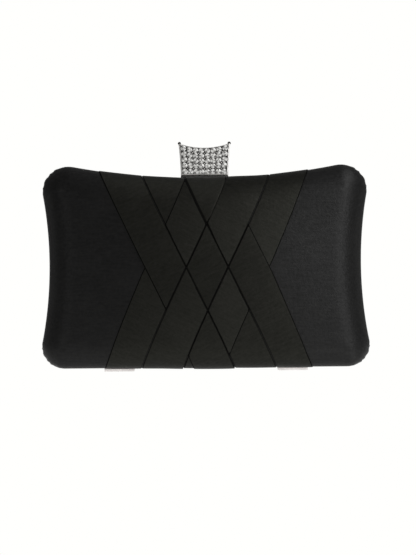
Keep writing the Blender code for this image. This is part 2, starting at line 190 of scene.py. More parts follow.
def crown(x, z, rise):
    across = np.maximum(0.0, 1 - (x / CROWN_HALF[0]) ** 2)
    up = np.maximum(0.0, 1 - ((z - CROWN_Z) / CROWN_HALF[1]) ** 2)
    return rise * (across * up) ** 1.5


def edge_distance(x, z):
    """How far in from the nearest edge a point of the face lies, eased where two edges meet."""
    gaps = (
        z - BASE_Z,
        hypot(x - TOP_CENTER[0], z - TOP_CENTER[1]) - TOP_RADIUS,
        hypot(abs(x) - SIDE_CENTER[0], z - SIDE_CENTER[1]) - SIDE_RADIUS,
    )
    low, ease = min(gaps), 0.0012
    return low - ease * log(sum(exp((low - gap) / ease) for gap in gaps))


def wrap_inset(turn):
    return WRAP * (1 - cos(turn) ** (2 / WRAP_POWER))


def wrap_height(inset):
    """The satin's height over the wall at a distance in from its edge."""
    share = np.maximum(0.0, 1 - inset / WRAP)
    return PUFF * np.maximum(0.0, 1 - share**WRAP_POWER) ** (1 / WRAP_POWER)


def wrap_normal(inset):
    """The outward and forward parts of the satin's normal at a distance in from its edge."""
    out = np.maximum(0.0, 1 - inset / WRAP) ** (WRAP_POWER - 1) / WRAP
    ahead = (wrap_height(inset) / PUFF) ** (WRAP_POWER - 1) / PUFF
    size = np.hypot(out, ahead)
    return out / size, ahead / size


def rounding(edge, steps):
    """A quarter round edge: how far each of its points has left the two straight sides."""
    turns = [pi / 2 * i / steps for i in range(steps + 1)]
    return [(edge * (1 - cos(turn)), edge * (1 - sin(turn))) for turn in turns]


def new_item(name, data):
    item = bpy.data.objects.new(name, data)
    scene.collection.objects.link(item)
    return item


def fill(mesh, work):
    """Moves what a bmesh holds into a mesh, shaded smooth."""
    work.to_mesh(mesh)
    work.free()
    mesh.shade_smooth()


def piece_of(name, points, faces, angle=40):
    """A mesh object with its faces turned outwards, shaded smooth but for its sharp edges."""
    mesh = bpy.data.meshes.new(name)
    mesh.from_pydata([tuple(p) for p in points], [], faces)
    work = bmesh.new()
    work.from_mesh(mesh)
    bmesh.ops.recalc_face_normals(work, faces=work.faces)
    fill(mesh, work)
    if angle:
        mesh.set_sharp_from_angle(angle=radians(angle))
    return new_item(name, mesh)


def box(name, low, high):
    xs, ys, zs = zip(low, high)
    corners = [(x, y, z) for x in xs for y in ys for z in zs]
    faces = [(0, 1, 3, 2), (4, 6, 7, 5), (0, 4, 5, 1), (2, 3, 7, 6), (0, 2, 6, 4), (1, 5, 7, 3)]
    return piece_of(name, corners, faces, 30)


def balls(name, places, radius, subdivisions):
    work = bmesh.new()
    for place in places:
        move = Matrix.Translation(place)
        bmesh.ops.create_icosphere(work, subdivisions=subdivisions, radius=radius, matrix=move)
    mesh = bpy.data.meshes.new(name)
    fill(mesh, work)
    return new_item(name, mesh)


def quads(a, b, count):
    """Faces between two rings of points that start at a and at b."""
    return [(a + i, a + (i + 1) % count, b + (i + 1) % count, b + i) for i in range(count)]


def walls(start, last, count):
    """Faces between all rings of points from the one that starts at start to that at last."""
    return [face for a in range(start, last, count) for face in quads(a, a + count, count)]


def loft(name, rings, closed_ends=True, angle=40):
    """Rings of points joined into one skin, closed by two single faces or end to start."""
    count = len(rings[0])
    last = (len(rings) - 1) * count
    faces = walls(0, last, count)
    if closed_ends:
        faces += [tuple(range(count)), tuple(range(last, last + count))]
    else:
        faces += quads(last, 0, count)
    return piece_of(name, [p for ring in rings for p in ring], faces, angle)


def skin(rings, way, middle, start=0):
    """Points and faces of a half's rings, which close in one point in the middle of the face."""
    count = len(rings[0])
    last = start + (len(rings) - 1) * count
    points = [(x, way * y, z) for ring in rings for x, y, z in ring]
    points.append((0.0, way * middle, CROWN_Z))
    fan = [(last + i, last + (i + 1) % count, last + count) for i in range(count)]
    return points, walls(start, last, count) + fan


def paint(item, looks):
    item.data.materials.clear()
    for look in looks.split():
        item.data.materials.append(MATERIALS[look])


def ridden(item, looks, body, slot, *nodes):
    """Gives a piece its materials and its body, and hides the CAD nodes that it replaces; slot is
    not used.
    """
    paint(item, looks)
    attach(item, body)
    if nodes:
        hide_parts(*nodes)


# ---------------- materials


class Nodes:
    """The shader nodes of a material or a world, with short ways to add and link them."""

    def __init__(self, owner):
        owner.use_nodes = True
        self.owner, self.tree = owner, owner.node_tree

    def link(self, source, target):
        """Feeds an input from another socket, or sets it to a plain value."""
        if isinstance(source, bpy.types.NodeSocket):
            self.tree.links.new(source, target)
        else:
            target.default_value = source

    def node(self, kind, **values):
        """A new node; each value is for a property or for an input, with _ for its spaces."""
        node = self.tree.nodes.new(f"ShaderNode{kind}")
        for key, value in values.items():
            if hasattr(node, key):
                setattr(node, key, value)
            else:
                self.link(value, node.inputs[key.replace("_", " ")])
        return node

    def add(self, kind, output=0, **values):
        """An output of a new node."""
        return self.node(kind, **values).outputs[output]

    def set(self, **values):
        """Sets or links inputs of the main shader."""
        for key, value in values.items():
            self.link(value, self.tree.nodes["Principled BSDF"].inputs[key.replace("_", " ")])
        return self.owner

    def coordinates(self, turn=0.0, scale=(1, 1, 1)):
        """Object coordinates turned about Y, then scaled."""
        place = self.add("TexCoord", "Object")
        turned = self.add("Mapping", Vector=place, Rotation=(0, turn, 0))
        return self.add("Mapping", Vector=turned, Scale=scale)

    def noise(self, vector, scale, detail=3.0, roughness=0.5):
        return self.add("TexNoise", Vector=vector, Scale=scale, Detail=detail, Roughness=roughness)

    def threads(self, vector, width, axis, distortion):
        """Waves across an axis, as wide as a thread."""
        wave = {"bands_direction": axis, "Scale": 2 * pi / 20 / width, "Distortion": distortion}
        return self.add("TexWave", "Fac", Vector=vector, **wave)

    def math(self, kind, a, b=0.0):
        node = self.node("Math", operation=kind)
        self.link(a, node.inputs[0])
        self.link(b, node.inputs[1])
        return node.outputs[0]

    def total(self, *values):
        return reduce(lambda a, b: self.math("ADD", a, b), values)

    def weighed(self, *parts):
        """The sum of values, each times its weight."""
        return self.total(*[self.math("MULTIPLY", value, weight) for value, weight in parts])

    def ramp(self, value, *stops):
        node = self.node("ValToRGB", Fac=value)
        elements = node.color_ramp.elements
        while len(elements) < len(stops):
            elements.new(0.5)
        for element, (place, color) in zip(elements, stops):
            element.position, element.color = place, (*color, 1)
        return node.outputs["Color"]

    def darkened(self, color, share):
        """A color turned towards black by a share from 0 to 1."""
        node = self.node("Mix", data_type="RGBA")
        sockets = {socket.identifier: socket for socket in node.inputs}
        self.link(share, sockets["Factor_Float"])
        self.link(color, sockets["A_Color"])
        self.link((0, 0, 0, 1), sockets["B_Color"])
        return next(socket for socket in node.outputs if socket.type == "RGBA")

    def spread(self, value, start, end, near, far, kind="SMOOTHSTEP"):
        """A value between start and end carried over to between near and far."""
        spans = {"From_Min": start, "From_Max": end, "To_Min": near, "To_Max": far}
        return self.add("MapRange", interpolation_type=kind, Value=value, **spans)

    def span(self, value, low, high):
        """A value from 0 to 1, spread from low to high."""
        return self.spread(value, 0.0, 1.0, low, high, "LINEAR")

    def attribute(self, name):
        return self.add("Attribute", "Fac", attribute_name=name)

    def bump(self, height, distance, strength, after=None):
        more = {} if after is None else {"Normal": after}
        return self.add("Bump", Height=height, Distance=distance, Strength=strength, **more)

    def mixed(self, share, *shaders):
        node = self.node("MixShader")
        for source, target in zip((share, *shaders), node.inputs):
            self.link(source, target)
        return node.outputs["Shader"]


def material(name):
    return Nodes(bpy.data.materials.new(name))


def satin(name, turn, dark, light, roughness, tint):
    """Black satin: long floats along the warp, fine slubs, and soft patches of wear."""
    n = material(name)
    plain = n.coordinates(turn)
    slub = n.noise(n.coordinates(turn, (1.0, 1.0, 0.06)), 1500, 4.0, 0.6)
    weft = n.noise(n.coordinates(turn, (0.16, 1.0, 1.0)), 820, 3.0, 0.6)
    mottle = n.noise(plain, 560, 3.0, 0.65)
    patches = n.noise(plain, 45)
    warp = n.threads(plain, 0.00030, "X", 0.3)
    picks = n.threads(plain, 0.00042, "Z", 0.6)
    total = n.weighed((weft, 0.40), (mottle, 0.40), (patches, 0.20))
    crease_shade = n.attribute("crease_shade")
    shade = n.ramp(total, (0.36, dark), (0.62, light))
    grain = n.math("MULTIPLY", n.math("SUBTRACT", 0.5, total), 0.40)
    rough = n.total(n.span(patches, *roughness), n.math("MULTIPLY", crease_shade, 0.55), grain)
    normal = n.bump(picks, 0.000014, 0.25, n.bump(warp, 0.000020, 0.35))
    normal = n.bump(weft, 0.000110, 0.75, n.bump(slub, 0.000045, 0.45, normal))
    normal = n.bump(mottle, 0.000160, 0.75, normal)
    # Painted shade: the satin is darkened along creases and band edges, where shade would fall.
    n.set(Base_Color=n.darkened(shade, n.math("MULTIPLY", crease_shade, 0.8)))
    n.set(Roughness=rough, Normal=normal, Specular_Tint=(*tint, 1), Anisotropic=0.55)
    n.set(Sheen_Weight=0.02, Sheen_Roughness=0.35, Specular_IOR_Level=0.25)
    along = n.add("CombineXYZ", X=sin(-turn), Y=0.0, Z=cos(turn))
    spaces = {"convert_from": "OBJECT", "convert_to": "WORLD"}
    return n.set(Tangent=n.add("VectorTransform", vector_type="VECTOR", Vector=along, **spaces))


def painted_fold_shadow(name):
    """Painted shadow for the deep side of a fold: near-black satin with hardly any shine, put where
    the fold is in shade.
    """
    n = material(name)
    grain = n.noise(n.coordinates(), 900)
    shade = n.ramp(grain, (0.35, (0.0006, 0.0006, 0.0005)), (0.65, (0.0030, 0.0030, 0.0026)))
    n.set(Base_Color=shade, Roughness=n.span(grain, 0.75, 0.95))
    return n.set(Normal=n.bump(grain, 0.00003, 0.4), Specular_IOR_Level=0.08)


def woven(name, dark, light, thread=0.00045, roughness=0.75):
    """A plain woven lining: threads over and under at right angles."""
    n = material(name)
    plain = n.coordinates()
    across, up = (n.threads(plain, thread, axis, 0.4) for axis in "XZ")
    weave = n.math("MULTIPLY", across, up)
    cloud = n.noise(plain, 60, 4.0)
    shade = n.ramp(n.weighed((weave, 0.4), (cloud, 0.6)), (0.2, dark), (0.8, light))
    normal = n.bump(n.noise(plain, 900), 0.00004, 0.4, n.bump(weave, 0.00006, 0.6))
    rough = n.span(cloud, roughness - 0.06, roughness + 0.06)
    n.set(Sheen_Weight=0.08, Sheen_Roughness=0.4)
    return n.set(Base_Color=shade, Roughness=rough, Normal=normal)


def metal(name, color, roughness, worn=0.10, brush=0.0, metallic=1.0, painted_glow=0.0):
    """Plated metal with faint wipe marks and rub; its glow is a painted reflection of surroundings
    it mirrors.
    """
    n = material(name)
    patches = n.noise(n.coordinates(), 160, 4.0, 0.6)
    fine = n.noise(n.coordinates(0.0, (1.0, 1.0, 8.0)), 900)
    dull = tuple(c * 0.82 for c in color)
    mixed = n.weighed((patches, 0.5), (fine, 0.5))
    n.set(Base_Color=n.ramp(patches, (0.35, dull), (0.62, color)), Metallic=metallic)
    n.set(Roughness=n.span(mixed, roughness, roughness + worn))
    n.set(Normal=n.bump(fine, 0.00002, 0.10 + brush))
    return n.set(Emission_Color=(*color, 1), Emission_Strength=painted_glow)


def plastic(name, dark, light, roughness):
    n = material(name)
    plain = n.coordinates()
    cloud = n.noise(plain, 50)
    n.set(Base_Color=n.ramp(cloud, (0.3, dark), (0.7, light)))
    n.set(Roughness=n.span(cloud, roughness - 0.08, roughness + 0.08))
    return n.set(Normal=n.bump(n.noise(plain, 1200), 0.00005, 0.3))


def crystal(name):
    """Clear cut glass whose facets carry painted glints and painted shade, with a faint painted
    glow; its tone also differs a little at random from stone to stone.
    """
    n = material(name)
    plain = n.coordinates()
    mixed = n.weighed((n.attribute("painted_glint"), 0.85), (n.noise(plain, 320, 1.0), 0.15))
    painted_glint_shades = ((0.12, (0.003,) * 3), (0.40, (0.36, 0.35, 0.33)), (0.66, (0.99, 0.99, 0.97)))
    n.set(Base_Color=n.ramp(mixed, *painted_glint_shades), Transmission_Weight=0.25, IOR=1.58)
    n.set(Roughness=n.span(n.noise(plain, 700, 2.0), 0.0, 0.05))
    # A faint glow stands in for light that the foil sends back: painted light.
    return n.set(Emission_Color=(1.0, 0.99, 0.97, 1), Emission_Strength=0.12)


BAND_TURN = atan(0.48)
PLAIN_DARK, PLAIN_LIGHT = (0.0012, 0.0012, 0.0012), (0.0085, 0.0084, 0.0083)
SATIN_DARK, SATIN_LIGHT = (0.0012, 0.0012, 0.0010), (0.0086, 0.0084, 0.0074)
PLAIN_TINT, BAND_TINT = (1.0, 1.0, 1.0), (0.99, 1.0, 0.86)
MATERIALS = {
    "plain": satin("satin_plain", 0.0, PLAIN_DARK, PLAIN_LIGHT, (0.43, 0.51), PLAIN_TINT),
    "down": satin("satin_down", BAND_TURN, SATIN_DARK, SATIN_LIGHT, (0.47, 0.57), BAND_TINT),
    "up": satin("satin_up", -BAND_TURN, SATIN_DARK, SATIN_LIGHT, (0.44, 0.54), BAND_TINT),
    "fold": painted_fold_shadow("satin_fold"),
    "lining": woven("lining_cloth", (0.010, 0.009, 0.010), (0.022, 0.020, 0.022)),
    "gusset": woven("gusset_cloth", (0.009, 0.008, 0.009), (0.020, 0.019, 0.020), 0.0004),
    "wadding": plastic("wadding", (0.55, 0.54, 0.50), (0.78, 0.77, 0.72), 0.9),
    "shell": plastic("shell_plastic", (0.03, 0.03, 0.03), (0.06, 0.06, 0.06), 0.55),
    "rim": metal("rim_metal", (0.11, 0.105, 0.10), 0.22),
    # The hinge leaves glow faintly: a painted reflection that lightens them.
    "hinge": metal("hinge_metal_painted_glow", (0.99, 0.94, 0.92), 0.50, metallic=0.05, painted_glow=0.26),
    "clasp": metal("clasp_metal", (0.93, 0.91, 0.88), 0.24, 0.10, metallic=0.65),
    # Silver painted darker than the clasp: painted shade on the base and catch under the plate.
    "base": metal("clasp_base_metal_painted_shade", (0.33, 0.325, 0.31), 0.20),
    "ball": metal("ball_metal", (0.07, 0.065, 0.06), 0.16),
    "steel": metal("pin_steel", (0.56, 0.56, 0.57), 0.28, 0.12, 0.15),
    "foil": metal("stone_foil", (0.93, 0.93, 0.92), 0.05, 0.04),
    "stone": crystal("cut_crystal_painted_glints"),
}


# ---------------- the two halves


STEPS = (34, 24, 28, 34)  # along half the bottom, each corner, each side and half the top
CORNERS = ((34, 58), (86, 110))  # the steps at which the two corners of a side start and end
HALF_STEPS = 144
GATHER = 0.00030  # height of the gathers
SLACK = (0.00016, 0.00005)  # height of the satin's broad and its small waves


def corner_gather(index, lift):
    """How far the satin stands up in the small gathers that turn it round a corner, at a step
    of the outline and a lift that runs from 0 at the rim to 1 on the face."""
    place = index if index <= HALF_STEPS else 2 * HALF_STEPS - index
    for start, end in CORNERS:
        off = abs(place - (start + end) / 2) / ((end - start) / 2 + 3)
        if off < 1:
            wave = cos((place - start) * 2 * pi / 4.0 + 1.3 * sin(place * 0.7))
            return GATHER * wave * eased(1.4 * (1 - off)) * (1 - eased(lift / 0.6))
    return 0.0


def relieved(point, index, lift, seed):
    """A point of the satin, with the gathers at the corners and its slack over the wadding."""
    x, y, z = point
    center = Vector((x * 0.82, WALL * 0.6, CROWN_Z + (z - CROWN_Z) * 0.7))
    away = (Vector(point) - center).normalized()
    slack = noise.noise(Vector((x * 26 + seed, y * 26, z * 26))) * SLACK[0]
    slack += noise.noise(Vector((x * 80, y * 80 + seed, z * 55))) * SLACK[1]
    return tuple(Vector(point) + away * (corner_gather(index, lift) + slack * eased(lift)))


def satin_rings(rise, seed):
    """Rings of points over one half, from the rim to the middle of the face."""
    start = RIM_DEPTH + 0.00005
    rings = [at_depth(outline(0.0, STEPS), y) for y in (start, (start + WALL) / 2)]
    last = acos((1 - ROUND / WRAP) ** (WRAP_POWER / 2))
    rounds, scales = 16, 34
    for step in range(rounds + 1):
        inset = wrap_inset(last * step / rounds)
        ease = eased((inset - 0.0095) / 0.003)
        ring = []
        for x, z in outline(min(inset, ROUND), STEPS):
            deep = wrap_height(inset + (edge_distance(x, z) - inset) * ease)
            ring.append((x, WALL + deep + crown(x, z, rise), z))
        rings.append(ring)
    for step in range(1, scales):
        face = shrunk(outline(ROUND, STEPS), 1 - (step / scales) ** 1.4)
        deep = [WALL + wrap_height(edge_distance(x, z)) + crown(x, z, rise) for x, z in face]
        rings.append([(x, y, z) for (x, z), y in zip(face, deep)])
    return [
        [relieved(p, i, max(0.0, (k - 1) / (rounds + 1)), seed) for i, p in enumerate(ring)]
        for k, ring in enumerate(rings)
    ]


def make_satin(name, rise, way, seed):
    """Thin closed satin over one half: the shown side, and a back one thickness behind it."""
    rings = satin_rings(rise, seed)
    points, faces = skin(rings, way, WALL + PUFF + rise)
    mesh = bpy.data.meshes.new("draft")
    mesh.from_pydata(points, [], faces)
    mesh.update()
    normals = [v.normal.copy() for v in mesh.vertices]
    bpy.data.meshes.remove(mesh)
    depth = COVER_THICKNESS if normals[-1].y * way > 0 else -COVER_THICKNESS
    total = len(points)
    points += [tuple(Vector(p) - n * depth) for p, n in zip(points, normals)]
    faces += [tuple(total + v for v in face) for face in faces]
    return piece_of(name, points, faces + quads(0, total, len(rings[0])), 60)


def make_lining(name, rise, way):
    """A closed skin inside one half: two layers joined along the rim."""
    points, faces, starts = [], [], []
    rounds, scales = 8, 14
    for depth in LINING:
        radius = ROUND - depth
        rings = [at_depth(outline(depth), y) for y in (RIM_DEPTH + 0.0002, 0.0055)]
        for step in range(rounds + 1):
            turn = pi / 2 * step / rounds
            y = WALL + radius * sin(turn)
            loop = outline(ROUND - radius * cos(turn))
            rings.append([(x, y + crown(x, z, rise), z) for x, z in loop])
        for step in range(1, scales):
            loop = shrunk(outline(ROUND), 1 - step / scales)
            rings.append([(x, WALL + radius + crown(x, z, rise), z) for x, z in loop])
        starts.append(len(points))
        more_points, more_faces = skin(rings, way, WALL + radius + rise, starts[-1])
        points, faces = points + more_points, faces + more_faces
    return piece_of(name, points, faces + quads(*starts, len(rings[0])), 60)


def make_rim(name, way):
    """A polished rim: a shallow channel with a rounded outer edge, notched for the hinges."""
    edge = rounding(RIM_EDGE, 6)
    section = [(RIM_INNER, RIM_GAP), (RIM_INNER, RIM_DEPTH)]
    section += [(a - RIM_PROUD, RIM_DEPTH - b) for a, b in edge[::-1]]
    section += [(a - RIM_PROUD, RIM_GAP + b) for a, b in edge]
    rings = [at_depth(outline(inset), way * y) for inset, y in section]
    item = loft(name, rings, closed_ends=False, angle=50)
    for side in ("left", "right"):
        low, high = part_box(f"hinge_leaf_back_{side}")
        start, end = (low.x - NOTCH_ROOM, -0.0023, -0.001), (high.x + NOTCH_ROOM, 0.0023, 0.0038)
        cut = box(f"notch_{side}", start, end)
        change = item.modifiers.new("Notch", "BOOLEAN")
        change.operation, change.object = "DIFFERENCE", cut
        bpy.context.view_layer.update()
        shown = item.evaluated_get(bpy.context.evaluated_depsgraph_get())
        mesh = bpy.data.meshes.new_from_object(shown)
        item.modifiers.clear()
        item.data = mesh
        bpy.data.objects.remove(cut, do_unlink=True)
    return item


def make_halves():
    for half, way, rise, seed in (("front", -1, FRONT_RISE, 3.7), ("back", 1, BACK_RISE, 9.1)):
        body = f"{half}_half"
        cover = make_satin(f"{half}_satin", rise, way, seed)
        ridden(cover, "plain", body, "satin", f"{half}_cover")
        lining = make_lining(f"{half}_lining_cloth", rise, way)
        ridden(lining, "lining", body, "lining", f"{half}_lining")
        ridden(make_rim(f"{half}_rim", way), "rim", body, "rim", f"{half}_frame")
        paint(frame["nodes"][f"{half}_padding"], "wadding")
        paint(frame["nodes"][f"{half}_shell"], "shell")


# ---------------- the plait


def lean(kind, rise):
    """Sideways run of a band at a height above the middle of the plait."""
    return BAND_LEAN[kind] * rise * (1 - BAND_STRAIGHTENING[kind] * (rise / HALF_HEIGHT) ** 2)


def narrowing(kind, index, rise, across):
    """How far the free edge of an outer band is drawn in as it runs away from the plait."""
    outer = -1 if index == 0 else 1
    away = -outer if kind == "down" else outer
    reach = BAND_TAPER.get((kind, index), 0.0) * np.clip((away * rise - 0.004) / 0.050, 0.0, 1.0)
    return -outer * reach * (1 + outer * across) / 2


def band_level(kind, index, x, z):
    """Height above the satin of the middle of a band's thickness, and how much painted shadow lies
    on its folds.
    """
    place = (x - LATTICE[0] - lean(OTHER[kind], z - LATTICE[1])) / BAND_PITCH
    level, fold = np.full_like(x, BAND_DOWN), np.zeros_like(x)
    for crossing in range(3):
        if (index + crossing) % 2 != (0 if kind == "down" else 1):
            continue
        start, end = crossing - 1.5, crossing - 0.5
        before = SLOPE_OUT if crossing == 0 else SLOPE_IN
        after = SLOPE_OUT if crossing == 2 else SLOPE_IN
        rise = eased((place - start + before[0]) / sum(before))
        fall = eased((end - place + after[0]) / sum(after))
        level += (BAND_UP - BAND_DOWN) * rise * fall
        for edge, reach in ((start, before), (end, after)):
            if reach is SLOPE_IN:
                half = CREASE_SHADE_HALF
                if (kind, edge) == WIDER_FOLD_SHADE:
                    half = half * (1 + 0.7 * eased((z - 0.078) / 0.008))
                line = eased(1.6 - np.abs(place - edge) / half)
                top = FOLD_SHADE_TOP[kind, edge]
                fold = np.maximum(fold, line * (1 - (1 - top) * eased((z - 0.086) / 0.012)))
    return level, fold * (0.25 + 0.75 * eased((z - BASE_Z) / FOLD_SHADE_FADE))


def band_section(columns=30):
    """A band's cross-section, across from -1 to 1 and height: flat, with soft folded edges."""
    spots = np.sin(np.pi / 2 * np.linspace(-1, 1, columns + 1))
    thick = BAND_THICKNESS / 2 * np.sqrt(np.maximum(0.0, 1 - np.abs(spots) ** 60))
    belly = 0.00012 * (1 - spots**2)
    across = np.concatenate([spots, spots[-2:0:-1]])
    return across, np.concatenate([thick + belly, -thick[-2:0:-1]])


def band_heights(top):
    """Heights of a band's rings, which are closest where it wraps over its two ends."""
    wraps, flat, fine_start, fine_step = 18, 300, 0.0022, 0.00034
    insets = np.array([wrap_inset(np.pi / 2 * i / wraps) for i in range(1, wraps)])
    fine = np.arange(fine_start, insets[-1], fine_step)
    insets = np.concatenate([insets[insets < fine_start - fine_step / 2], fine])
    low, high = BASE_Z + insets, top - insets[::-1]
    return np.concatenate([low, np.linspace(low[-1], high[0], flat)[1:-1], high])


def band_mesh(kind, index):
    """Rings of points of a band, each with its painted crease shade and painted fold shadow; in the
    plait the rings run along the other family's edges, so that a band climbs and dips exactly at
    them."""
    across, height = band_section()
    half = (BAND_PITCH - BAND_GAP) / 2
    middle = LATTICE[0] + (index - 1) * BAND_PITCH
    skew_run = half / (BAND_LEAN[OTHER[kind]] - BAND_LEAN[kind])
    top = top_edge(middle + lean(kind, BAND_END))
    start = RIM_DEPTH + 0.0001

    def ring_at(share, skew, wall=1.0):
        base_x = middle + lean(kind, BAND_END if share > 0.5 else -BAND_END) + across * half
        z = BASE_Z + (top_edge(base_x) - BASE_Z) * share
        z = (BASE_Z + (top - BASE_Z) * share) * skew + z * (1 - skew)
        z = z + across * skew_run * skew
        x = middle + lean(kind, z - LATTICE[1]) + across * half
        x = x + narrowing(kind, index, z - LATTICE[1], across)
        edge = top_edge(x)
        if share in (0.0, 1.0):
            z = BASE_Z + (edge - BASE_Z) * share
        inset = np.maximum(np.minimum(z - BASE_Z, edge - z), 0.0)
        way = np.where(z - BASE_Z < edge - z, -1.0, 1.0)
        out, ahead = wrap_normal(inset)
        level, fold = band_level(kind, index, x, z)
        lift = (level + height) * (0.35 + 0.65 * wall)
        y = WALL + wrap_height(inset) + crown(x, z, FRONT_RISE)
        if wall < 1:
            y = np.full_like(y, start + (WALL - start) * wall)
        # Painted shade along the folds and the band's rounded edges, which darkens the satin's
        # colour.
        crease_shade = np.maximum(fold, eased((np.abs(across) - 0.955) / 0.03))
        # Free edges and rounded sides get the near-black satin that paints the fold shadow.
        free = across * (index - 1) > FREE_EDGE_SHADE
        fold = np.where(free | (np.abs(across) > 0.992), 1.0, fold)
        return np.stack([x, -(y + lift * ahead), z + way * lift * out], axis=1), crease_shade, fold

    shares = (0.0, 0.33, 0.67, 1.0)
    rings = [ring_at(0.0, 0.0, wall) for wall in shares]
    for z in band_heights(top):
        room = min(z - BASE_Z, top - z)
        rings.append(ring_at((z - BASE_Z) / (top - BASE_Z), min(1.0, room / UNSKEWED)))
    return rings + [ring_at(1.0, 0.0, wall) for wall in shares[::-1]]


def make_plait():
    for index, side in enumerate(("left", "middle", "right")):
        for kind in ("down", "up"):
            name = f"band_{kind}_{side}"
            points, crease_shade, fold = zip(*band_mesh(kind, index))
            band = loft(f"satin_{name}", [ring.tolist() for ring in points], angle=70)
            values = band.data.attributes.new("crease_shade", "FLOAT", "POINT").data
            values.foreach_set("value", np.concatenate(crease_shade))
            fold = np.concatenate(fold)
            ridden(band, f"{kind} fold", "front_half", "satin", name)
            # Faces deep in a fold get the near-black satin of the painted fold shadow.
            for polygon in band.data.polygons:
                deep = fold[list(polygon.vertices)].mean() > 0.5
                polygon.material_index = 1 if deep and len(polygon.vertices) == 4 else 0


# ---------------- hardware


def refined(node, name, width, look, body, slot):
    """A CAD node's own shape with its coplanar faces joined and its edges softened."""
    item = new_item(name, frame["nodes"][node].data.copy())
    work = bmesh.new()
    work.from_mesh(item.data)
    bmesh.ops.remove_doubles(work, verts=work.verts, dist=1e-6)
    limit = radians(1)
    bmesh.ops.dissolve_limit(work, angle_limit=limit, verts=work.verts, edges=work.edges)
    fill(item.data, work)
    item.data.set_sharp_from_angle(angle=radians(50))
    change = item.modifiers.new("Soft edges", "BEVEL")
    change.width, change.limit_method = width, "ANGLE"
    change.segments = 1 if slot == "hinge" else 2
    change.angle_limit = radians(40)
    change.harden_normals = True
    ridden(item, look, body, slot, node)


def make_hardware():
    for side in ("left", "right"):
        for half in ("front", "back"):
            node = f"hinge_leaf_{half}_{side}"
            refined(node, f"{node}_plate", 0.00015, "hinge", f"{half}_half", "hinge")
        paint(frame["nodes"][f"hinge_pin_{side}"], "steel")
    for node, body in (("clasp_bracket", "back_half"), ("clasp_catch", "front_half")):
        refined(node, f"{node}_plate", 0.00012, "base", body, "clasp_base")
    paint(frame["nodes"]["clasp_pivot_pin"], "steel")


# ---------------- the clasp


PLATE_LOW, PLATE_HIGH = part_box("clasp_lever")
SPRING_LOW, SPRING_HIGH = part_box("clasp_spring")
PLATE_BOTTOM = 0.1197
PLATE_TOP = 0.1364
PLATE_HALF = (0.0145, 0.0158)
PLATE_Y = (-0.0026, 0.0022)
PLATE_EDGE = 0.00035
PLATE_RECESS = 0.0012  # how deep the stones' bed lies in the plate
HORN = (0.01525, 0.1392)
HORN_BALL = PLATE_HIGH.z - HORN[1]
HORN_TIP = 0.00021
PLATE_RIM = 0.0008
PLATE_TOP_RIM = 0.0004
PIVOT = frame["joints"][1]["pos_m"][1:]
KNUCKLE_RADIUS, KNUCKLE_BORE, KNUCKLE_EDGE = 0.0014, 0.00085, 0.00015
KNUCKLE_SPAN = (SPRING_HIGH.x + 0.0003, 0.0110)  # from the spring's end outwards

STONE_COLUMNS, STONE_ROWS = 8, 5
STONE_RADIUS = 0.00171
STONE_CROWN, STONE_DEPTH = 0.00050, 0.00062
LOW_ROW_GAP = 0.00028  # the lowest row of stones stands apart by this
GIRDLE_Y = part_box("clasp_stones")[0].y + 0.00055
GIRDLE_START = 16  # the first point of a stone's girdle, after its table and crown
BEAD_RADIUS = 0.00038


def plate_half(z):
    up = max(0.0, (z - PLATE_BOTTOM) / (HORN[1] - PLATE_BOTTOM))
    return PLATE_HALF[0] + (PLATE_HALF[1] - PLATE_HALF[0]) * up**1.6


def plate_top(x):
    return PLATE_TOP + (HORN[1] - 0.0004 - PLATE_TOP) * abs(x / (HORN[0] - 0.0007)) ** 2.1


def plate_loop(rim, top_rim):
    """The clasp plate in X and Z moved inwards by rim, and by top_rim along its hollow top,
    anticlockwise from the bottom's middle."""
    low = PLATE_BOTTOM + rim
    half = [(i / 10 * (plate_half(low) - rim), low) for i in range(11)]
    high = HORN[1] - 0.0006 - rim
    half += [(plate_half(z) - rim, z) for z in (low + (high - low) * i / 16 for i in range(1, 17))]
    outer, inner = plate_half(high) - rim, HORN[0] - 0.0008 - rim
    top = plate_top(inner) - rim
    for i in range(1, 6):
        turn = pi * i / 6
        x = (outer + inner) / 2 + (outer - inner) / 2 * cos(turn)
        half.append((x, high + (top - high) * i / 6 + HORN_TIP * sin(turn)))
    spots = [inner * (1 - i / 20) for i in range(21)]
    half += [(x, plate_top(x) - rim + (rim - top_rim) * eased((inner - x) / 0.002)) for x in spots]
    return half + [(-x, z) for x, z in reversed(half[1:-1])]


def make_clasp_plate():
    front, back = PLATE_Y
    edge = rounding(PLATE_EDGE, 4)
    section = [(b, b, back - a) for a, b in edge] + [(a, a, front + b) for a, b in edge]
    section.append((PLATE_RIM, PLATE_TOP_RIM, front))
    section.append((PLATE_RIM + 0.0001, PLATE_TOP_RIM, front + PLATE_RECESS))
    rings = [at_depth(plate_loop(rim, top_rim), y) for rim, top_rim, y in section]
    ridden(loft("clasp_plate", rings, angle=50), "clasp", "clasp", "clasp", "clasp_lever")


def knuckle_rings(low, high):
    """The rings of a knuckle: a tube along X round the pivot, with bevelled ends."""
    shoulder = KNUCKLE_RADIUS - KNUCKLE_EDGE
    spots = [(low, KNUCKLE_BORE), (low, shoulder), (low + KNUCKLE_EDGE, KNUCKLE_RADIUS)]
    spots += [(high - KNUCKLE_EDGE, KNUCKLE_RADIUS), (high, shoulder), (high, KNUCKLE_BORE)]
    turns = [2 * pi * i / 32 for i in range(32)]
    return [[(x, PIVOT[0] + r * cos(a), PIVOT[1] + r * sin(a)) for a in turns] for x, r in spots]


